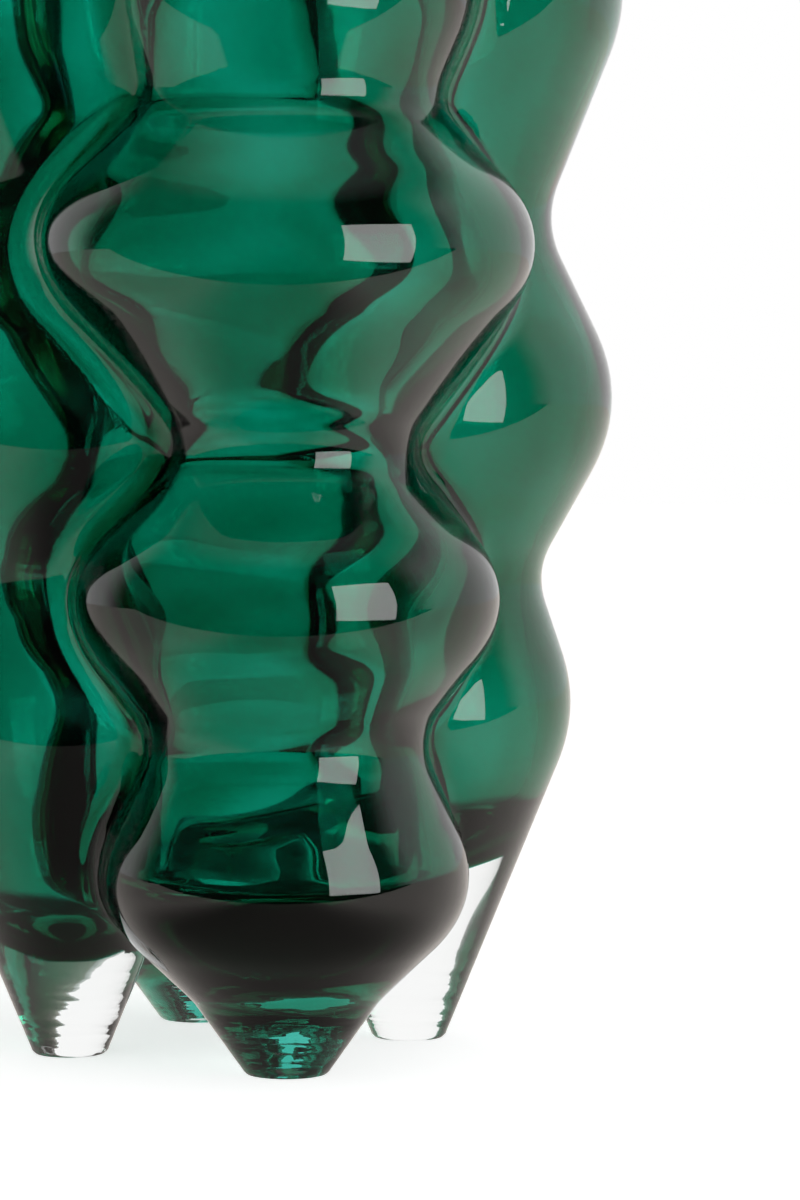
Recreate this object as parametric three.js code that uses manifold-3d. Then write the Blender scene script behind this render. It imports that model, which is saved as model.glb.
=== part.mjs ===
// Four-lobed cased glass vase: a green vessel inside a clear casing, on four solid clear feet.
// Millimetres, +Z up. The origin is on the table under the vase's axis, and the front lobe is on -Y.

import * as THREE from "three";
import { mergeVertices } from "three/addons/utils/BufferGeometryUtils.js";
import Module from "manifold-3d";

const wasm = await Module();
wasm.setup();

// Layout of the lobes
const LOBE_OFFSET = 45; // vase axis to the axis of each lobe
const HEIGHT = 325; // table to the ground and polished rim
const VALLEY_ROUND = 7; // rounding of the outer surface where two lobes meet

// Layers of glass, square to the surface
const CASING_WALL = 6;
const GREEN_WALL = 3;
const LAYER_GAP = 0.3;
const CAVITY_WALL = CASING_WALL + LAYER_GAP + GREEN_WALL;

// Feet and floors
const FOOT_HEIGHT = 22; // table to the joint between a foot and the casing
const FOOT_BEVEL = 0.8; // polished edge round the ground face of a foot
const TIP_FLOOR = 5; // clear glass between that joint and the tip of the green vessel
const TIP_RADIUS = 5; // flat end of the green vessel inside a lobe
const TIP_ROUND = 6;
const ARCH_HEIGHT = 42; // table to the underside between the feet
const ARCH_FLOOR = 8; // extra glass above that underside

// Outline of a lobe from its foot up. Each corner lies a rise above the one below it,
// where two straight flanks would meet, and is rounded.
const FRONT_AND_BACK = {
  foot: { radius: 10.3, rise: 0, round: 0 },
  ankle: { radius: 23.2, rise: 18.2, round: 20 },
  lowBulge: { radius: 49.9, rise: 25.6, round: 30.7 },
  lowWaist: { radius: 33.2, rise: 39.7, round: 15 },
  middleBulge: { radius: 59.8, rise: 35.1, round: 27 },
  middleWaist: { radius: 28.9, rise: 34.6, round: 12.3 },
  highBulge: { radius: 68.4, rise: 52.8, round: 26.7 },
  highWaist: { radius: 37, rise: 33, round: 10.7 },
  topBulge: { radius: 50.3, rise: 29.8, round: 35.4 },
  collar: { radius: 36.5, rise: 32.2, round: 20 },
  mouth: { radius: 41, rise: 24, round: 0 },
};
const LEFT_AND_RIGHT = {
  foot: { radius: 9.4, rise: 0, round: 0 },
  lowBulge: { radius: 44.6, rise: 86, round: 40.9 },
  lowWaist: { radius: 32.8, rise: 35, round: 18.6 },
  middleBulge: { radius: 57.2, rise: 43.9, round: 39.9 },
  middleWaist: { radius: 34.6, rise: 46.4, round: 24.2 },
  topBulge: { radius: 58.6, rise: 59.9, round: 45.2 },
  collar: { radius: 43, rise: 34.8, round: 15 },
  mouth: { radius: 46, rise: 19, round: 0 },
};

// Fineness of the facets: round a turned end, round a lobe of the body, across a valley, along a
// rounded corner, and the least height between two levels of the body
const OUTER_FINENESS = { turned: 24, lobe: 10, valley: 4, corner: 4, levelStep: 5 };
const INNER_FINENESS = { turned: 16, lobe: 7, valley: 3, corner: 2, levelStep: 9 };
const END_OVERLAP = 3; // how far a turned end reaches into the body that it joins

const MOIL = 30; // glass above the rim that is cut off

const MATERIALS = {
  clear: { color: 0xe9eeec, roughness: 0.02, metalness: 0, transparent: true, opacity: 0.35 },
  green: { color: 0x0c6b4e, roughness: 0.02, metalness: 0, transparent: true, opacity: 0.75 },
};

const LOBES = [
  { side: "front", outline: FRONT_AND_BACK, angle: -Math.PI / 2 },
  { side: "right", outline: LEFT_AND_RIGHT, angle: 0 },
  { side: "back", outline: FRONT_AND_BACK, angle: Math.PI / 2 },
  { side: "left", outline: LEFT_AND_RIGHT, angle: Math.PI },
];

// Corners of an outline as points (x is the radius, y the height), each with its rounding.
// The last one is carried up along its flank past the rim.
function outlineCorners(outline) {
  let height = 0;
  const corners = Object.values(outline).map((corner) => {
    height += corner.rise;
    return { point: new THREE.Vector2(corner.radius, height), round: corner.round };
  });
  const [below, mouth] = corners.slice(-2);
  const flank = mouth.point.clone().sub(below.point);
  const top = Math.max(HEIGHT, mouth.point.y) + MOIL;
  mouth.point.addScaledVector(flank, (top - mouth.point.y) / flank.y);
  return corners;
}

// The same corners moved inwards by a wall. Bulges lose the wall from their rounding, waists gain it.
function insetCorners(corners, wall) {
  const flanks = corners.slice(1).map((corner, i) => {
    const along = corner.point.clone().sub(corners[i].point).normalize();
    const start = corners[i].point.clone().add(new THREE.Vector2(-along.y, along.x).multiplyScalar(wall));
    return { start, along };
  });
  const last = flanks.length;
  return corners.map((corner, i) => {
    if (i === 0) return { point: flanks[0].start.clone(), round: 0 };
    if (i === last) {
      const { start, along } = flanks[last - 1];
      const reach = (corner.point.y - start.y) / along.y;
      return { point: start.clone().addScaledVector(along, reach), round: 0 };
    }
    const [lower, upper] = [flanks[i - 1], flanks[i]];
    const turn = lower.along.cross(upper.along);
    const reach = upper.start.clone().sub(lower.start).cross(upper.along) / turn;
    const round = Math.max(corner.round - Math.sign(turn) * wall, 1);
    return { point: lower.start.clone().addScaledVector(lower.along, reach), round };
  });
}

// A hollow's corners: a blunt tip over the solid foot, then the inset outline from its first bulge up.
function hollowCorners(outline, wall) {
  const tipHeight = FOOT_HEIGHT + TIP_FLOOR + wall - CASING_WALL;
  const inset = insetCorners(outlineCorners(outline), wall);
  const firstBulge = Object.keys(outline).indexOf("lowBulge");
  return [
    { point: new THREE.Vector2(0, tipHeight), round: 0 },
    { point: new THREE.Vector2(TIP_RADIUS, tipHeight), round: TIP_ROUND },
    ...inset.slice(firstBulge),
  ];
}

// Points along a rounded outline. A rounding is limited by half of the shorter flank beside it.
function roundedPoints(corners, cornerSteps) {
  const points = [corners[0].point.clone()];
  for (let i = 1; i < corners.length - 1; i += 1) {
    const { point, round } = corners[i];
    const back = corners[i - 1].point.clone().sub(point);
    const ahead = corners[i + 1].point.clone().sub(point);
    const bend = Math.PI - Math.abs(back.angleTo(ahead));
    const room = Math.min(back.length(), ahead.length()) / 2;
    const reach = Math.min(round * Math.tan(bend / 2), room);
    const start = point.clone().addScaledVector(back.normalize(), reach);
    const end = point.clone().addScaledVector(ahead.normalize(), reach);
    const curve = new THREE.QuadraticBezierCurve(start, point, end);
    points.push(...curve.getPoints(cornerSteps));
  }
  points.push(corners[corners.length - 1].point.clone());
  return points;
}

function radiusAt(points, height) {
  const i = points.findIndex((point) => point.y > height);
  const [low, high] = [points[i - 1], points[i]];
  return THREE.MathUtils.mapLinear(height, low.y, high.y, low.x, high.x);
}

// A closed three.js geometry as a solid for cutting and joining.
function toSolid(geometry) {
  const bare = geometry.clone();
  bare.deleteAttribute("normal");
  bare.deleteAttribute("uv");
  const welded = mergeVertices(bare);
  const faces = [];
  const index = welded.index.array;
  for (let i = 0; i < index.length; i += 3) {
    const [a, b, c] = index.slice(i, i + 3);
    if (a !== b && b !== c && c !== a) faces.push(a, b, c);
  }
  const vertProperties = welded.attributes.position.array;
  return new wasm.Manifold(new wasm.Mesh({ numProp: 3, vertProperties, triVerts: new Uint32Array(faces) }));
}

function lobeCentre(lobe) {
  return new THREE.Vector2(LOBE_OFFSET * Math.cos(lobe.angle), LOBE_OFFSET * Math.sin(lobe.angle));
}

// The end of one lobe below a height, turned round its own axis.
function turnedEnd(lobe, outline, height, fineness) {
  const points = [
    ...outline.filter((point) => point.y < height),
    new THREE.Vector2(radiusAt(outline, height), height),
    new THREE.Vector2(0, height),
  ];
  if (points[0].x > 0) points.unshift(new THREE.Vector2(0, points[0].y));
  const centre = lobeCentre(lobe);
  const geometry = new THREE.LatheGeometry(points, fineness.turned);
  return toSolid(geometry.rotateX(Math.PI / 2).translate(centre.x, centre.y, 0));
}

// Centre of the rounding of the valley after a lobe: its circle touches both lobes from outside.
function valleyCentre(i, radii, round) {
  const j = (i + 1) % LOBES.length;
  const from = lobeCentre(LOBES[i]);
  const axis = lobeCentre(LOBES[j]).sub(from);
  const span = axis.length();
  axis.normalize();
  const [reach, nextReach] = [radii[i] + round, radii[j] + round];
  const along = (span * span + reach * reach - nextReach * nextReach) / (2 * span);
  const outward = new THREE.Vector2(axis.y, -axis.x).multiplyScalar(Math.sqrt(reach * reach - along * along));
  return from.addScaledVector(axis, along).add(outward);
}

// Points round a centre from the direction of one point to that of another, without the last.
function arcPoints(centre, radius, from, to, steps, sense) {
  const start = from.clone().sub(centre).angle();
  const end = to.clone().sub(centre).angle();
  const turn = sense * THREE.MathUtils.euclideanModulo(sense * (end - start), 2 * Math.PI);
  return Array.from({ length: steps }, (unused, step) => {
    const angle = start + (turn * step) / steps;
    return new THREE.Vector2(Math.cos(angle), Math.sin(angle)).multiplyScalar(radius).add(centre);
  });
}

// A level section of the body: round each lobe, then across the valley to the next one.
function levelSection(radii, round, fineness) {
  const valleys = LOBES.map((lobe, i) => valleyCentre(i, radii, round));
  return LOBES.flatMap((lobe, i) => {
    const centre = lobeCentre(lobe);
    const before = valleys[(i + LOBES.length - 1) % LOBES.length];
    const next = lobeCentre(LOBES[(i + 1) % LOBES.length]);
    return [
      ...arcPoints(centre, radii[i], before, valleys[i], fineness.lobe, 1),
      ...arcPoints(valleys[i], round, centre, next, fineness.valley, -1),
    ];
  });
}

// Levels of the body above a floor, at heights where the outer outlines bend. The inner skins
// share them, so that they nest.
function bodyLevels(floor, step) {
  const bends = outerOutlines.flatMap((outline) => outline.map((point) => point.y)).sort((a, b) => a - b);
  const top = bends[bends.length - 1];
  const levels = [];
  let last = ARCH_HEIGHT;
  for (const height of bends) {
    if (height > last + step && height < top - MOIL) {
      levels.push(height);
      last = height;
    }
  }
  return [...levels.filter((height) => height > floor + step), top - MOIL / 2];
}

// The joined part of the lobes, lofted through level sections from a floor up past the rim.
function joinedLobes(outlines, floor, round, fineness) {
  const levels = [floor, ...bodyLevels(floor, fineness.levelStep)];
  const rings = levels.map((height) => {
    const radii = outlines.map((outline) => radiusAt(outline, height));
    return levelSection(radii, round, fineness);
  });
  const size = rings[0].length;
  const positions = rings.flatMap((ring, i) => ring.flatMap((point) => [point.x, point.y, levels[i]]));
  const index = [];
  for (let level = 0; level < levels.length - 1; level += 1) {
    for (let i = 0; i < size; i += 1) {
      const [a, b] = [level * size + i, level * size + ((i + 1) % size)];
      index.push(a, b, a + size, b, b + size, a + size);
    }
  }
  const last = (levels.length - 1) * size;
  for (const [start, ring] of [[0, rings[0]], [last, rings[rings.length - 1]]]) {
    for (const [a, b, c] of THREE.ShapeUtils.triangulateShape(ring, [])) {
      index.push(start + a, start + (start ? b : c), start + (start ? c : b));
    }
  }
  const geometry = new THREE.BufferGeometry();
  geometry.setAttribute("position", new THREE.Float32BufferAttribute(positions, 3));
  geometry.setIndex(index);
  return toSolid(geometry);
}

// Everything within one skin of the vase: the joined lobes and their four separate lower ends.
function form(outlines, floor, join, round, fineness) {
  const ends = LOBES.map((lobe, i) => turnedEnd(lobe, outlines[i], join, fineness));
  return ends.reduce((joined, end) => joined.add(end), joinedLobes(outlines, floor, round, fineness));
}

function slab(low, high) {
  const reach = 2 * (LOBE_OFFSET + HEIGHT);
  return toSolid(new THREE.BoxGeometry(reach, reach, high - low).translate(0, 0, (low + high) / 2));
}

// The space within a skin that lies a wall inside the outer surface. Where its lower ends join the
// body, an inner skin's join lies within that of the skin round it, so that the skins nest there too.
function hollow(wall) {
  const outlines = LOBES.map((lobe) => roundedPoints(hollowCorners(lobe.outline, wall), INNER_FINENESS.corner));
  const floor = ARCH_HEIGHT + ARCH_FLOOR + wall;
  const join = floor + 2 * (CAVITY_WALL - wall) + END_OVERLAP;
  return form(outlines, floor, join, VALLEY_ROUND + wall, INNER_FINENESS);
}

function glassPiece(name, solid, look) {
  const { vertProperties, triVerts } = solid.getMesh();
  const geometry = new THREE.BufferGeometry();
  geometry.setAttribute("position", new THREE.BufferAttribute(vertProperties, 3));
  geometry.setIndex(new THREE.BufferAttribute(triVerts, 1));
  geometry.computeVertexNormals();
  const mesh = new THREE.Mesh(geometry, new THREE.MeshStandardMaterial(look));
  mesh.name = name;
  return mesh;
}

// Clear casing: the whole outer form above the feet, hollowed for the green vessel
const outerOutlines = LOBES.map((lobe) => roundedPoints(outlineCorners(lobe.outline), OUTER_FINENESS.corner));
const outerForm = form(outerOutlines, ARCH_HEIGHT, ARCH_HEIGHT + END_OVERLAP, VALLEY_ROUND, OUTER_FINENESS);
const casing = outerForm.intersect(slab(FOOT_HEIGHT, HEIGHT)).subtract(hollow(CASING_WALL));

// Green vessel: fits the casing all over and holds the water
const greenOutside = hollow(CASING_WALL + LAYER_GAP);
const greenVessel = greenOutside.intersect(slab(0, HEIGHT)).subtract(hollow(CAVITY_WALL));

// A foot: the solid clear end of one lobe, with its ground face on the table
function foot(lobe, outline) {
  const edge = outline[0].clone().setX(outline[0].x - FOOT_BEVEL);
  const raised = new THREE.Vector2(radiusAt(outline, FOOT_BEVEL), FOOT_BEVEL);
  const points = [edge, raised, ...outline.slice(1)];
  return turnedEnd(lobe, points, FOOT_HEIGHT, OUTER_FINENESS).intersect(slab(0, FOOT_HEIGHT));
}

const group = new THREE.Group();
group.add(glassPiece("clear_casing", casing, MATERIALS.clear));
group.add(glassPiece("green_vessel", greenVessel, MATERIALS.green));
LOBES.forEach((lobe, i) => {
  group.add(glassPiece(`foot_${lobe.side}`, foot(lobe, outerOutlines[i]), MATERIALS.clear));
});

export default group;
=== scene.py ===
import math

import bmesh
import bpy
import numpy as np
from mathutils import Matrix, Vector


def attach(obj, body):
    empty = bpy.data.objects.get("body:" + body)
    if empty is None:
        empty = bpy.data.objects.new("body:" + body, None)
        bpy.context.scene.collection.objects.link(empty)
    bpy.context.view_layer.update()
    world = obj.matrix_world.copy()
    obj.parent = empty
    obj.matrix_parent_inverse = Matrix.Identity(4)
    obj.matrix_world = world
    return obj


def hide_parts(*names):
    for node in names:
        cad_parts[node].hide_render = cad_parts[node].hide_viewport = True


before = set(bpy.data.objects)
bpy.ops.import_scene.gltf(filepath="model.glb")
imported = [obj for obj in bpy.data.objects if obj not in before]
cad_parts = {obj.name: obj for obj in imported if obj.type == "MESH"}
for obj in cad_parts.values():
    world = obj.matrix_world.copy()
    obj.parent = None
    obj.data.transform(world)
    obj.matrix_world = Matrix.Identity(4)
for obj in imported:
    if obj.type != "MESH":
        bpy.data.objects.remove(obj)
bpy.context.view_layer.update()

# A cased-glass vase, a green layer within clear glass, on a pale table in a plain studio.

MM = 0.001

# ------------------------------------------------------------------ sizes of the glass, in mm
LOBE_OFFSET = 45.0  # vase axis to the axis of each lobe
HEIGHT = 325.0
VALLEY_ROUND = 7.0  # rounding of the outer surface where two lobes meet
CORE_RADIUS = 28.0  # glass in the middle between the lobes
ARCH_HEIGHT = 42.0  # table to the underside between the feet
GREEN_WALL = 3.0
CLEAR_LINING = 0.15  # clear skin between the green layer and the hollow
RIM_BEVEL = 1.2
FOOT_BEVEL = 0.8
GREEN_BELOW_RIM = 0.3  # the green layer ends this far under the rim, so that the faces don't coincide
GREEN_BEVEL = 0.05
UNEVENNESS = 0.35  # how far the inner skins wander, as blown glass does

# Outline of a lobe from its foot up: radius, rise above the corner below, rounding.
FRONT_AND_BACK = (
    (10.3, 0, 0), (23.2, 18.2, 20), (49.9, 25.6, 30.7), (33.2, 39.7, 15), (59.8, 35.1, 27),
    (28.9, 34.6, 12.3), (68.4, 52.8, 26.7), (37, 33, 10.7), (50.3, 29.8, 35.4), (36.5, 32.2, 20), (41, 24, 0),
)
LEFT_AND_RIGHT = (
    (9.4, 0, 0), (44.6, 86, 40.9), (32.8, 35, 18.6), (57.2, 43.9, 39.9), (34.6, 46.4, 24.2),
    (58.6, 59.9, 45.2), (43, 34.8, 15), (46, 19, 0),
)
# Outline of the hollow in the front and back lobes. The glass is thickest at the lower flanks of the
# bulges and thinnest at the waists.
FRONT_AND_BACK_HOLLOW = (
    (38, 44.7, 0), (25.9, 51.2, 40.9), (44.1, 29.0, 18.1), (29.3, 18.2, 4.0), (22.4, 25.9, 8.2),
    (54.0, 33.3, 16.8), (29.8, 31.5, 28.0), (35.9, 28.9, 7.9), (29.3, 37.2, 13.5), (32.6, 25.4, 0.0),
)
SIDE_WALL = 6.5  # glass between the left or right lobe's outline and its hollow, both layers
SIDE_SOFTNESS = 7.0  # how much softer the hollow swells there than the outside
OUTLINE_SOFTNESS = 0.35
HOLLOW_SOFTNESS = 1.0
TIP_SOFTNESS = 2.0

# Each lobe: direction from the vase's axis in degrees, outlines, and its hollow's blunt tip in the
# foot: height, radius and how fast it flares.
LOBES = (
    {"angle": -90, "outline": FRONT_AND_BACK, "hollow": FRONT_AND_BACK_HOLLOW, "tip": (36.0, 9.0, 2.3)},
    {"angle": 0, "outline": LEFT_AND_RIGHT, "hollow": None, "tip": (49.0, 8.0, 1.5)},
    {"angle": 90, "outline": FRONT_AND_BACK, "hollow": FRONT_AND_BACK_HOLLOW, "tip": (30.0, 6.0, 2.0)},
    {"angle": 180, "outline": LEFT_AND_RIGHT, "hollow": None, "tip": (30.0, 7.0, 1.3)},
)
TIP_DEPTH = 5.0  # how fast the blunt tip opens out to its flank
# Where the lobes' hollows meet: a rod with a bowl as its lower end, and the rounding of the ridges
CORE_HOLLOW = {"radius": 32.0, "bottom": 51.5, "bowl": 13.0, "ridge": 8.0}

# Outline tables: squared radii at these heights. The outlines run on past the top of the table.
TABLE_TOP, TABLE_STEP, PAST_TOP = 400.0, 0.1, 40.0
HEIGHTS = np.arange(-60.0, TABLE_TOP, TABLE_STEP)

# Meshing: edge of a grid cell, half the grid's width, and its margins below a skin and above the rim
GRID_STEP = 1.8
GRID_REACH = 112.0
GRID_BELOW, GRID_ABOVE = 3.0, 4.0
CLEAR_STARTS = (0.0, 24.0)  # below the lowest points of the clear glass's outer and inner skins
GREEN_STARTS = (18.0, 22.0)
SAME_LEVEL = 1e-3
OFF_SKIN = 0.05  # points farther than this from both skins belong to a ground face or its bevel


# ------------------------------------------------------------------ outlines
def outline_corners(outline):
    """Corners as (radius, height, rounding), the last one carried up its flank past the rim."""
    height, corners = 0.0, []
    for radius, rise, rounding in outline:
        height += rise
        corners.append([float(radius), height, float(rounding)])
    (r0, z0, _), (r1, z1, _) = corners[-2:]
    top = TABLE_TOP + PAST_TOP
    corners[-1] = [r1 + (r1 - r0) / (z1 - z0) * (top - z1), top, 0.0]
    return corners


def rounded_points(corners, steps=40):
    """Points along the outline, each corner rounded by a parabola."""
    points = [np.array(corners[0][:2])]
    for before, corner, after in zip(corners, corners[1:], corners[2:]):
        point = np.array(corner[:2])
        back, ahead = np.array(before[:2]) - point, np.array(after[:2]) - point
        shorter = min(np.linalg.norm(back), np.linalg.norm(ahead)) / 2
        back, ahead = back / np.linalg.norm(back), ahead / np.linalg.norm(ahead)
        bend = math.pi - math.acos(float(np.clip(back @ ahead, -1, 1)))
        reach = min(corner[2] * math.tan(bend / 2), shorter)
        for t in np.linspace(0, 1, steps):
            points.append((1 - t) ** 2 * (point + reach * back) + 2 * t * (1 - t) * point
                          + t ** 2 * (point + reach * ahead))
    points.append(np.array(corners[-1][:2]))
    return np.array(points)


def softened(values, spread):
    """Values at HEIGHTS, blurred over a spread in mm."""
    steps = np.arange(-4 * spread, 4 * spread + TABLE_STEP / 2, TABLE_STEP)
    kernel = np.exp(-(steps / spread) ** 2 / 2)
    padded = np.pad(values, len(steps) // 2, mode="edge")
    return np.convolve(padded, kernel / kernel.sum(), mode="valid")[:len(values)]


def outline_radius(outline):
    """Radii of a rounded outline at HEIGHTS."""
    points = rounded_points(outline_corners(outline))
    return np.interp(HEIGHTS, points[:, 1], points[:, 0])


def outer_table(outline):
    """Squared radius of the outer surface at HEIGHTS, carried straight down below the table."""
    return softened(outline_radius(outline), OUTLINE_SOFTNESS) ** 2


def hollow_table(lobe, grown):
    """Squared radius of a lobe's hollow, grown on all sides. It falls through zero at its blunt tip."""
    if lobe["hollow"]:
        radius = softened(outline_radius(lobe["hollow"]), HOLLOW_SOFTNESS)
    else:
        radius = softened(outline_radius(lobe["outline"]), SIDE_SOFTNESS) - SIDE_WALL
    slope = np.gradient(radius, TABLE_STEP)
    radius = radius + grown * np.sqrt(1 + softened(slope ** 2, TIP_SOFTNESS))
    tip, tip_radius, flare = lobe["tip"]
    above = np.maximum(HEIGHTS - (tip - grown), 0)
    radius = -softened(np.maximum(-radius, -(tip_radius + above * flare)), TIP_SOFTNESS)
    square = np.maximum(radius, tip_radius) ** 2 - tip_radius ** 2 * np.exp(-above / TIP_DEPTH)
    return np.where(above > 0, square, tip_radius ** 2 / TIP_DEPTH * (HEIGHTS - tip + grown))


# ------------------------------------------------------------------ fields, in mm, below 0 within a skin
def turned_field(table, slopes, rho_square, z):
    """About the distance to a turned surface, from its table of squared radii."""
    at = (z - HEIGHTS[0]) / TABLE_STEP
    low = np.clip(at.astype(np.int32), 0, len(table) - 2)
    part = at - low
    square = table[low] * (1 - part) + table[low + 1] * part
    slope = slopes[low] * (1 - part) + slopes[low + 1] * part
    return (rho_square - square) / np.sqrt(4 * rho_square + slope ** 2 + 1)


def core_field(x, y, z, radius, bottom, bowl):
    """The middle between the lobes: an upright rod whose lower end is a bowl of that depth."""
    below = np.minimum(z - bottom - bowl, 0) * (radius / bowl)
    return np.sqrt(x ** 2 + y ** 2 + below ** 2) - radius


def joined(fields, rounding):
    """Union of fields whose valleys are rounded."""
    nearest = np.minimum.reduce(fields)
    total = sum(np.maximum(rounding - field, 0) ** 2 for field in fields)
    return np.maximum(rounding, nearest) - np.sqrt(total)


def ripple(x, y, z, seed, waves=7, shortest=26.0, longest=70.0):
    """A gentle uneven field between about -1 and 1: a few waves in seeded directions."""
    rng = np.random.default_rng(seed)
    total = 0.0
    for _ in range(waves):
        direction = rng.normal(size=3)
        direction *= 2 * math.pi / rng.uniform(shortest, longest) / np.linalg.norm(direction)
        total = total + np.sin(direction[0] * x + direction[1] * y + direction[2] * z + rng.uniform(0, 6.3))
    return total / math.sqrt(waves)


def skin_field(tables, core, rounding, unevenness=0.0, seed=1):
    """A function of x, y, z for one skin of the vase. The core is its radius, bottom and bowl."""
    slopes = [np.gradient(table, TABLE_STEP) for table in tables]
    centres = [(LOBE_OFFSET * math.cos(math.radians(lobe["angle"])),
                LOBE_OFFSET * math.sin(math.radians(lobe["angle"]))) for lobe in LOBES]

    def field(x, y, z):
        parts = [turned_field(table, slope, (x - cx) ** 2 + (y - cy) ** 2, z)
                 for table, slope, (cx, cy) in zip(tables, slopes, centres)]
        value = joined(parts + [core_field(x, y, z, *core)], rounding)
        return value + unevenness * ripple(x, y, z, seed) if unevenness else value

    return field


def hollow_field(grown, seed):
    """The hollow, grown on all sides."""
    core = (CORE_HOLLOW["radius"] + grown, CORE_HOLLOW["bottom"] - grown, CORE_HOLLOW["bowl"])
    tables = [hollow_table(lobe, grown) for lobe in LOBES]
    return skin_field(tables, core, CORE_HOLLOW["ridge"] + grown, UNEVENNESS, seed)


# ------------------------------------------------------------------ meshing
def surface_net(field, low, high, step):
    """Quads near the zero of a field, one point for each cell that it crosses."""
    axes = [np.arange(a, b + step, step) for a, b in zip(low, high)]
    x, y, z = np.meshgrid(*axes, indexing="ij", sparse=True)
    values = field(x, y, z).astype(np.float32)
    inside = values < 0
    cells = tuple(n - 1 for n in values.shape)
    sums, counts = np.zeros(cells + (3,), np.float32), np.zeros(cells, np.uint8)
    edges = []
    for axis in range(3):
        lower = tuple(slice(0, -1) if a == axis else slice(None) for a in range(3))
        upper = tuple(slice(1, None) if a == axis else slice(None) for a in range(3))
        crossing = np.argwhere(inside[lower] != inside[upper])
        after = crossing + np.eye(3, dtype=int)[axis]
        v0, v1 = values[tuple(crossing.T)], values[tuple(after.T)]
        place = crossing.astype(np.float32)
        place[:, axis] += v0 / (v0 - v1)
        others = [a for a in range(3) if a != axis]
        keep = np.all([(crossing[:, a] > 0) & (crossing[:, a] < cells[a]) for a in others], axis=0)
        around = []
        for da, db in ((1, 1), (0, 1), (0, 0), (1, 0)):
            cell = crossing.copy()
            cell[:, others[0]] -= da
            cell[:, others[1]] -= db
            around.append(cell)
            valid = np.all([(cell[:, a] >= 0) & (cell[:, a] < cells[a]) for a in range(3)], axis=0)
            at = tuple(cell[valid].T)
            np.add.at(sums, at, place[valid])
            np.add.at(counts, at, 1)
        flip = (v0 < 0) != (axis == 1)
        edges.append((np.stack(around, 1)[keep], flip[keep]))
    number = np.full(cells, -1, np.int64)
    active = counts > 0
    number[active] = np.arange(active.sum())
    points = sums[active] / counts[active][:, None] * step + np.array([a[0] for a in axes])
    quads = []
    for around, flip in edges:
        quad = number[around[..., 0], around[..., 1], around[..., 2]]
        quad[~flip] = quad[~flip][:, ::-1]
        quads.append(quad)
    return points.astype(float), np.concatenate(quads)


def gradient(field, points, reach=0.25):
    slopes = []
    for axis in range(3):
        shift = np.zeros(3)
        shift[axis] = reach
        slopes.append((field(*(points + shift).T) - field(*(points - shift).T)) / (2 * reach))
    return np.stack(slopes, 1)


def unit(vectors):
    return vectors / np.linalg.norm(vectors, axis=1)[:, None]


def settle(field, points, rounds=5, least_slope=1e-3):
    """Moves points onto the zero of the field and returns them with the field's directions."""
    for _ in range(rounds):
        slope = gradient(field, points)
        points = points - slope * (field(*points.T) / np.maximum((slope ** 2).sum(1), least_slope))[:, None]
    return points, unit(gradient(field, points))


def skin(field, bottom, outward):
    """Points and quads of one skin, up past the rim. outward is 1 where the glass lies within it."""
    points, quads = surface_net(field, (-GRID_REACH, -GRID_REACH, bottom - GRID_BELOW),
                                (GRID_REACH, GRID_REACH, HEIGHT + GRID_ABOVE), GRID_STEP)
    points, directions = settle(field, points)
    corners = points[quads]
    facing = np.cross(corners[:, 2] - corners[:, 0], corners[:, 3] - corners[:, 1])
    agrees = (facing * directions[quads[:, 0]]).sum(1) * outward
    quads[agrees < 0] = quads[agrees < 0][:, ::-1]
    return points, quads


def cut_flat(bm, height, up, bevel):
    """Cuts the mesh off one bevel short of a level and returns its open edges there."""
    level = height - bevel if up else height + bevel
    geometry = list(bm.verts) + list(bm.edges) + list(bm.faces)
    bmesh.ops.bisect_plane(bm, geom=geometry, dist=1e-5, plane_co=(0, 0, level), plane_no=(0, 0, 1),
                           clear_outer=up, clear_inner=not up)
    return [edge for edge in bm.edges if edge.is_boundary
            and all(abs(vert.co.z - level) < SAME_LEVEL for vert in edge.verts)]


def nearest_skin(fields, points):
    """Each point's distance from the nearest skin, and that skin's number."""
    values = np.abs([field(*points.T) for field, _ in fields])
    return values.min(0), values.argmin(0)


def bevel_rim(bm, rim, height, bevel, fields):
    """A narrow slanted band from a cut edge to the flat ground face. Returns the band's far edges."""
    grown = bmesh.ops.extrude_edge_only(bm, edges=rim)["geom"]
    verts = [item for item in grown if isinstance(item, bmesh.types.BMVert)]
    points = np.array([vert.co for vert in verts])
    _, nearest = nearest_skin(fields, points)
    moved = points.copy()
    for number, (field, outward) in enumerate(fields):
        mine = nearest == number
        slope = gradient(field, points[mine]) * outward
        slope[:, 2] = 0
        moved[mine] -= unit(slope) * bevel
    for vert, place in zip(verts, moved):
        vert.co = Vector((place[0], place[1], height))
    return [item for item in grown if isinstance(item, bmesh.types.BMEdge)
            and all(abs(vert.co.z - height) < SAME_LEVEL for vert in item.verts)]


def fill_flat(bm, edges, up):
    """Closes a ground face between its edge loops."""
    filled = bmesh.ops.triangle_fill(bm, edges=edges, use_beauty=True, normal=(0, 0, 1 if up else -1))
    for item in filled["geom"]:
        if isinstance(item, bmesh.types.BMFace):
            item.material_index = 0
            if (item.normal.z > 0) != up:
                item.normal_flip()


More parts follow.
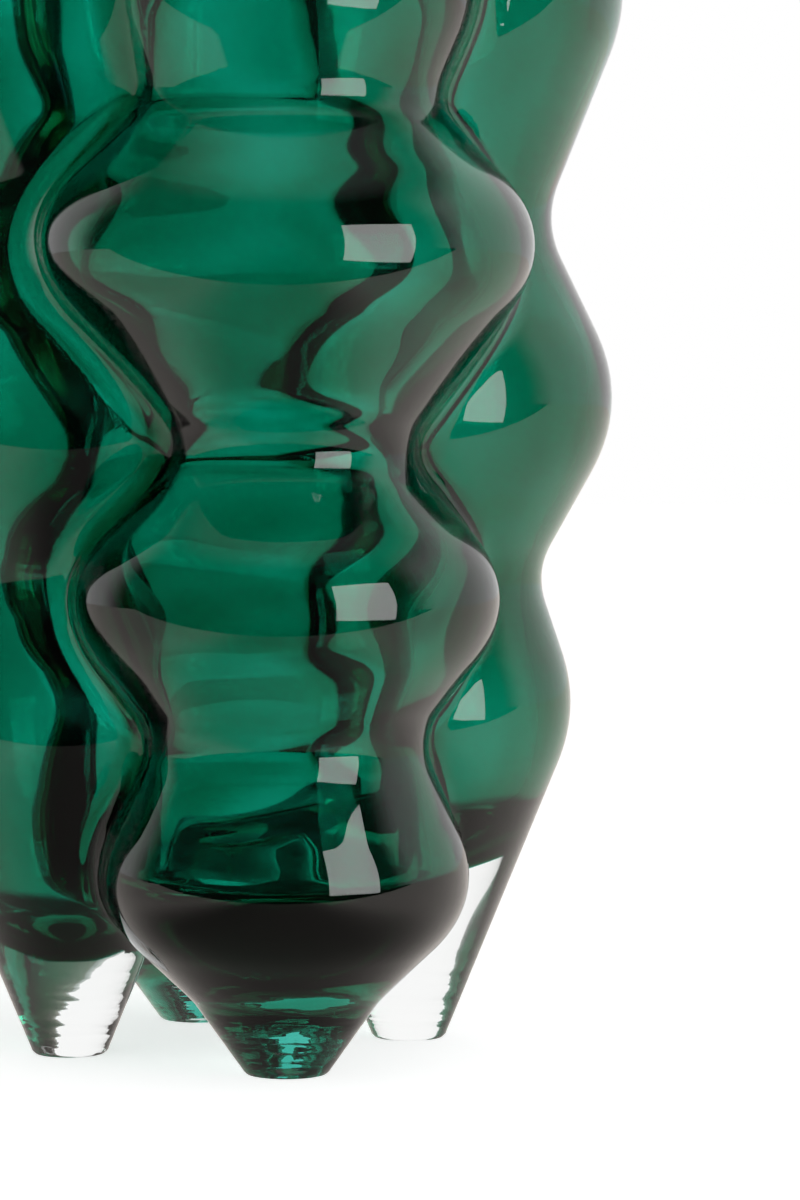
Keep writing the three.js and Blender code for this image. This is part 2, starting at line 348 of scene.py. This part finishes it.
def glass_mesh(name, outer, inner, starts, ends):
    """A closed mesh of glass between an outer and an inner skin. Each end is its height, whether it is
    the upper one, and its bevel."""
    fields = [(outer, 1), (inner, -1)]
    bm = bmesh.new()
    for (field, outward), start in zip(fields, starts):
        points, quads = skin(field, start, outward)
        verts = [bm.verts.new(point) for point in points]
        for quad in quads:
            bm.faces.new([verts[i] for i in quad])
    bmesh.ops.delete(bm, geom=[vert for vert in bm.verts if not vert.link_faces], context="VERTS")
    for height, up, bevel in ends:
        rim = cut_flat(bm, height, up, bevel)
        far = bevel_rim(bm, rim, height, bevel, fields)
        fill_flat(bm, far, up)
    bm.normal_update()
    mesh = bpy.data.meshes.new(name)
    bm.to_mesh(mesh)
    bm.free()
    set_normals(mesh, fields)
    mesh.transform(Matrix.Scale(MM, 4))
    return mesh


def read_array(items, attribute, width, kind):
    values = np.empty(len(items) * width, kind)
    items.foreach_get(attribute, values)
    return values.reshape(-1, width) if width > 1 else values


def set_normals(mesh, fields):
    """Shades each skin by its field, and each ground face and bevel flat."""
    points = read_array(mesh.vertices, "co", 3, float)
    distance, nearest = nearest_skin(fields, points)
    shading = np.zeros_like(points)
    for number, (field, outward) in enumerate(fields):
        mine = nearest == number
        shading[mine] = unit(gradient(field, points[mine]) * outward)
    corners = read_array(mesh.loops, "vertex_index", 1, np.int32)
    faces = read_array(mesh.polygons, "normal", 3, float)
    face_normals = np.repeat(faces, read_array(mesh.polygons, "loop_total", 1, np.int32), axis=0)
    flat = np.abs(face_normals[:, 2]) > 0.9999
    off_skin = distance[corners] > OFF_SKIN
    normals = np.where((flat | off_skin)[:, None], face_normals, shading[corners])
    mesh.polygons.foreach_set("use_smooth", np.ones(len(mesh.polygons), bool))
    mesh.normals_split_custom_set(normals.tolist())


# ------------------------------------------------------------------ nodes
def node_tree(owner):
    owner.use_nodes = True
    tree = owner.node_tree
    tree.nodes.clear()
    return tree


def add(tree, kind, inputs=(), **settings):
    """A new shader node. Its inputs are values or the sockets that they come from."""
    node = tree.nodes.new("ShaderNode" + kind)
    for key, value in settings.items():
        setattr(node, key, value)
    for key, value in dict(inputs).items():
        if isinstance(value, bpy.types.NodeSocket):
            tree.links.new(value, node.inputs[key])
        else:
            node.inputs[key].default_value = value
    return node


def math_node(tree, operation, *values):
    return add(tree, "Math", {i: value for i, value in enumerate(values)}, operation=operation).outputs[0]


def ramp(tree, value, span, start, end, interpolation="SMOOTHSTEP"):
    """start where the value is below the span, end where it is above."""
    return add(tree, "MapRange", {"Value": value, "From Min": span[0], "From Max": span[1], "To Min": start,
                                  "To Max": end}, interpolation_type=interpolation).outputs[0]


def along(tree, vector, direction):
    """How far a vector goes in a direction."""
    return add(tree, "VectorMath", {0: vector, 1: direction}, operation="DOT_PRODUCT").outputs["Value"]


# ------------------------------------------------------------------ materials
SURFACE_WAVES = {"Scale": 38.0, "Detail": 2.0, "Roughness": 0.4}
WAVE_DEPTH = 0.002
# Fine uneven rings on the feet: noise squeezed in height, at full depth under the lower height
TOOL_MARKS = {"Scale": 170.0, "Detail": 1.5, "Roughness": 0.5}
MARK_STRETCH = (0.35, 0.35, 1.6)
MARK_DEPTH = 0.0004
MARK_HEIGHTS = (0.008, 0.032)

CLEAR_GLASS = {"Base Color": (0.985, 0.995, 0.99, 1), "IOR": 1.5}
CLEAR_WAVINESS = 0.02
GREEN_GLASS = {"Base Color": (1, 1, 1, 1), "IOR": 1.0}  # fused into the clear glass, so it bends no light
GREEN_ABSORPTION = {"Color": (0.0357, 0.789, 0.72, 1), "Density": 1400.0}
LIT_THROUGH = (0.86, 0.97, 0.93, 1)  # what one skin lets through of a lamp's light


def glass_material(name, look, waviness, absorption=None):
    """Glass with a faintly wavy surface, through which lamps shine."""
    material = bpy.data.materials.new(name)
    tree = node_tree(material)
    place = add(tree, "TexCoord").outputs["Object"]
    waves = add(tree, "TexNoise", {"Vector": place, **SURFACE_WAVES})
    gentle = add(tree, "Bump", {"Height": waves.outputs["Fac"], "Strength": waviness, "Distance": WAVE_DEPTH})
    banded = add(tree, "VectorMath", {0: place, 1: MARK_STRETCH}, operation="MULTIPLY").outputs[0]
    marks = add(tree, "TexNoise", {"Vector": banded, **TOOL_MARKS})
    height = add(tree, "SeparateXYZ", {0: place}).outputs["Z"]
    low_marks = math_node(tree, "MULTIPLY", marks.outputs["Fac"], ramp(tree, height, MARK_HEIGHTS, 1.0, 0.0))
    bump = add(tree, "Bump", {"Height": low_marks, "Strength": 1.0, "Distance": MARK_DEPTH,
                              "Normal": gentle.outputs["Normal"]})
    glass = add(tree, "BsdfPrincipled", {**look, "Roughness": 0.0, "Transmission Weight": 1.0,
                                         "Normal": bump.outputs["Normal"]})
    rays = add(tree, "LightPath")
    clear = add(tree, "BsdfTransparent", {"Color": LIT_THROUGH})
    mix = add(tree, "MixShader", {0: rays.outputs["Is Shadow Ray"], 1: glass.outputs[0], 2: clear.outputs[0]})
    output = add(tree, "OutputMaterial", {"Surface": mix.outputs[0]})
    if absorption:
        volume = add(tree, "VolumeAbsorption", absorption)
        tree.links.new(volume.outputs[0], output.inputs["Volume"])
    return material


def scene_object(name, data):
    obj = bpy.data.objects.new(name, data)
    bpy.context.scene.collection.objects.link(obj)
    return obj


def piece(name, mesh, material, slot, *nodes):
    """A piece of glass on the body root, shown instead of those CAD nodes."""
    mesh.materials.append(material)
    obj = scene_object(name, mesh)
    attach(obj, "root")
    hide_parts(*nodes)


# ------------------------------------------------------------------ the vase
def clear_glass_body():
    """The clear casing and the feet, fused as in the real vase."""
    outer = skin_field([outer_table(lobe["outline"]) for lobe in LOBES],
                       (CORE_RADIUS, ARCH_HEIGHT, CORE_RADIUS), VALLEY_ROUND)
    ends = [(HEIGHT, True, RIM_BEVEL), (0.0, False, FOOT_BEVEL)]
    mesh = glass_mesh("clear_glass_body", outer, hollow_field(0.0, 3), CLEAR_STARTS, ends)
    look = glass_material("clear_glass_look", CLEAR_GLASS, CLEAR_WAVINESS)
    piece("clear_glass_body", mesh, look, "clear_glass",
          "clear_casing", "foot_front", "foot_right", "foot_back", "foot_left")


def green_glass_layer():
    """The green vessel, within the clear glass and just short of the hollow."""
    ends = [(HEIGHT - GREEN_BELOW_RIM, True, GREEN_BEVEL)]
    mesh = glass_mesh("green_glass_layer", hollow_field(GREEN_WALL, 2), hollow_field(CLEAR_LINING, 3),
                      GREEN_STARTS, ends)
    look = glass_material("green_glass_look", GREEN_GLASS, 0.0, GREEN_ABSORPTION)
    piece("green_glass_layer", mesh, look, "green_glass", "green_vessel")


# ------------------------------------------------------------------ studio, in m and degrees
CAMERA_AZIMUTH, CAMERA_ELEVATION, CAMERA_DISTANCE = -16.51, 3.87, 1.1516
AIM_RIGHT, AIM_HEIGHT = 0.0409, 0.1145
LENS, SENSOR = 202.5, 36.0  # in mm

SOFTBOX_AZIMUTH, SOFTBOX_ELEVATION, SOFTBOX_DISTANCE = 25.0, 3.5, 0.6
SOFTBOX_WIDTH, SOFTBOX_HEIGHT, SOFTBOX_WATTS = 0.33, 0.46, 2.4
SOFTBOX_AIM_HEIGHT = 0.16

# White backdrop: its side edges as cosines to the camera's direction, and its soft top edge as sines
# of elevation, for what the glass mirrors and for what is seen through it
BACKDROP_SIDES = (-0.25, 0.15)
MIRRORED_TURN, MIRRORED_TOP = -12.0, (0.55, 0.85)
THROUGH_TOP = (0.34, 0.6)
CEILING_SPAN, CEILING_MIRRORED, CEILING_THROUGH = (0.75, 0.95), 0.3, 3.0  # the last multiplies the one before
HORIZON_SPAN, HORIZON = (0.15, 0.35), 0.8  # pale walls all round, seen through the glass
ROOM_DARK = (0.022, 0.019, 0.018, 1)
ROOM_SOFT = 0.55  # what the surroundings give to diffuse surfaces

FLOOR_REACH, FLOOR_SIDES = 3.0, 96
PAPER = (0.8, 0.8, 0.8, 1)
PAPER_LIFT = 0.62  # carries the floor to white for the camera
# Colour of the painted light and shade that the glass sees on the table
PAINTED_TABLE_GLOW = (1, 0.93, 0.87, 1)
# Distances from the vase's axis towards the camera, or across its view, and the painted light and shade there
SHADOW_NEAR, SHADOW_ACROSS, SHADOW = (-0.02, 0.09), (0.05, 0.17), 0.66
SIDE_LIGHT_SPAN, SIDE_LIGHT = (-0.25, 0.25), 0.72
TABLE_FRONT, PAST_FRONT = (0.27, 0.28), 0.03
UNDER_NEAR, UNDER_ACROSS, UNDER = (-0.14, -0.06), (0.11, 0.19), 0.95
FAR_SPAN, FAR = (0.28, 0.32), 0.9


def towards(azimuth, elevation=0.0):
    """The direction of an azimuth, 0 in front and 90 at the right, seen from the vase."""
    a, e = math.radians(azimuth), math.radians(elevation)
    return Vector((math.sin(a) * math.cos(e), -math.cos(a) * math.cos(e), math.sin(e)))


def camera():
    data = bpy.data.cameras.new("camera")
    data.sensor_fit, data.sensor_width, data.lens = "HORIZONTAL", SENSOR, LENS
    data.clip_start, data.clip_end = 0.05, 20.0
    obj = scene_object("camera", data)
    right = Vector((math.cos(math.radians(CAMERA_AZIMUTH)), math.sin(math.radians(CAMERA_AZIMUTH)), 0))
    aim = right * AIM_RIGHT + Vector((0, 0, AIM_HEIGHT))
    away = towards(CAMERA_AZIMUTH, CAMERA_ELEVATION)
    obj.location = aim + away * CAMERA_DISTANCE
    obj.rotation_euler = away.to_track_quat("Z", "Y").to_euler()
    bpy.context.scene.camera = obj


def softbox_front_right():
    data = bpy.data.lights.new("softbox_front_right", "AREA")
    data.shape, data.size, data.size_y = "RECTANGLE", SOFTBOX_WIDTH, SOFTBOX_HEIGHT
    data.energy = SOFTBOX_WATTS
    obj = scene_object("softbox_front_right", data)
    away = towards(SOFTBOX_AZIMUTH, SOFTBOX_ELEVATION)
    obj.location = Vector((0, 0, SOFTBOX_AIM_HEIGHT)) + away * SOFTBOX_DISTANCE
    obj.rotation_euler = away.to_track_quat("Z", "Y").to_euler()


def studio_world():
    """What the glass mirrors is white behind the vase and dark elsewhere but for a dim ceiling. What is
    seen through it also has pale walls and a bright ceiling."""
    world = bpy.data.worlds.new("studio")
    bpy.context.scene.world = world
    tree = node_tree(world)
    direction = add(tree, "TexCoord").outputs["Generated"]
    height = add(tree, "SeparateXYZ", {0: direction}).outputs["Z"]

    def backdrop(azimuth, top):
        behind = ramp(tree, along(tree, direction, towards(azimuth)), BACKDROP_SIDES, 1.0, 0.0)
        return math_node(tree, "MULTIPLY", ramp(tree, height, top, 1.0, 0.0), behind)

    rays = add(tree, "LightPath")
    ceiling = ramp(tree, height, CEILING_SPAN, 0.0, CEILING_MIRRORED)
    mirrored = math_node(tree, "MAXIMUM", backdrop(CAMERA_AZIMUTH + MIRRORED_TURN, MIRRORED_TOP), ceiling)
    mirrored = math_node(tree, "MULTIPLY", mirrored, rays.outputs["Is Glossy Ray"])
    bright_ceiling = math_node(tree, "MULTIPLY", ceiling, CEILING_THROUGH)
    through = math_node(tree, "MAXIMUM", backdrop(CAMERA_AZIMUTH, THROUGH_TOP), bright_ceiling)
    horizon = ramp(tree, math_node(tree, "ABSOLUTE", height), HORIZON_SPAN, HORIZON, 0.0)
    through = math_node(tree, "MAXIMUM", through, horizon)
    through = math_node(tree, "MULTIPLY", through, rays.outputs["Is Transmission Ray"])
    bright = math_node(tree, "MAXIMUM", mirrored, through)
    bright = math_node(tree, "MAXIMUM", bright, rays.outputs["Is Camera Ray"])
    dark = add(tree, "Background", {"Color": ROOM_DARK, "Strength": 1.0})
    soft = add(tree, "Background", {"Color": (1, 1, 1, 1), "Strength": ROOM_SOFT})
    white = add(tree, "Background", {"Color": (1, 1, 1, 1), "Strength": 1.0})
    room = add(tree, "MixShader", {0: rays.outputs["Is Diffuse Ray"], 1: dark.outputs[0], 2: soft.outputs[0]})
    mix = add(tree, "MixShader", {0: bright, 1: room.outputs[0], 2: white.outputs[0]})
    add(tree, "OutputWorld", {"Surface": mix.outputs[0]})


def table_light(tree, rays):
    """How bright the glass sees the table, all painted light and shade: painted light from behind, a painted
    shadow round the vase, dark past its front edge. Seen through the glass it has more painted shade under
    and before the vase, and is pale again beyond."""
    place = add(tree, "TexCoord").outputs["Object"]
    nearer = along(tree, place, towards(CAMERA_AZIMUTH))
    across = along(tree, place, towards(CAMERA_AZIMUTH + 90))
    off_middle = math_node(tree, "ABSOLUTE", across)
    seen_through = rays.outputs["Is Transmission Ray"]

    # Painted shadow of the vase on the table before it
    shadow = math_node(tree, "MULTIPLY", ramp(tree, nearer, SHADOW_NEAR, 0.0, SHADOW),
                       ramp(tree, off_middle, SHADOW_ACROSS, 1.0, 0.0))
    # Painted light, brighter towards the camera's right, less the painted shadow
    glow = math_node(tree, "SUBTRACT", ramp(tree, across, SIDE_LIGHT_SPAN, SIDE_LIGHT, 1.0, "LINEAR"), shadow)
    # Painted shade under and before the vase, for what is seen through the glass
    under = math_node(tree, "MULTIPLY", ramp(tree, nearer, UNDER_NEAR, 0.0, UNDER),
                      ramp(tree, off_middle, UNDER_ACROSS, 1.0, 0.0))
    under = math_node(tree, "MULTIPLY", under, seen_through)
    reach = math_node(tree, "MULTIPLY", ramp(tree, nearer, TABLE_FRONT, 1.0, PAST_FRONT, "LINEAR"),
                      math_node(tree, "SUBTRACT", 1.0, under))
    far = math_node(tree, "MULTIPLY", ramp(tree, nearer, FAR_SPAN, 0.0, FAR), seen_through)
    return math_node(tree, "MULTIPLY", glow, math_node(tree, "MAXIMUM", reach, far))


def pale_floor():
    """White to the camera, with the vase's shadow. To the glass it is a table in painted light and shade, see
    table_light.
    """
    mesh = bpy.data.meshes.new("floor")
    turns = [2 * math.pi * i / FLOOR_SIDES for i in range(FLOOR_SIDES)]
    mesh.from_pydata([(FLOOR_REACH * math.cos(turn), FLOOR_REACH * math.sin(turn), 0) for turn in turns], [],
                     [list(range(FLOOR_SIDES))])
    material = bpy.data.materials.new("pale_floor")
    tree = node_tree(material)
    rays = add(tree, "LightPath")
    # The table's light and shade that the glass mirrors and sees through are painted into this glow
    shown = add(tree, "Emission", {"Color": PAINTED_TABLE_GLOW, "Strength": table_light(tree, rays)})
    paper = add(tree, "BsdfDiffuse", {"Color": PAPER})
    lifted = math_node(tree, "MULTIPLY", rays.outputs["Is Camera Ray"], PAPER_LIFT)
    lift = add(tree, "Emission", {"Color": (1, 1, 1, 1), "Strength": lifted})
    both = add(tree, "AddShader", {0: paper.outputs[0], 1: lift.outputs[0]})
    seen = math_node(tree, "MAXIMUM", rays.outputs["Is Glossy Ray"], rays.outputs["Is Transmission Ray"])
    mix = add(tree, "MixShader", {0: seen, 1: both.outputs[0], 2: shown.outputs[0]})
    add(tree, "OutputMaterial", {"Surface": mix.outputs[0]})
    mesh.materials.append(material)
    scene_object("floor", mesh)


clear_glass_body()
green_glass_layer()
camera()
softbox_front_right()
studio_world()
pale_floor()

scene = bpy.context.scene
scene.view_settings.view_transform = "Standard"
# Light crosses many surfaces of clear and green glass before it leaves the vase
scene.cycles.max_bounces = 32
scene.cycles.transmission_bounces = 32
scene.cycles.glossy_bounces = 12
scene.cycles.transparent_max_bounces = 32
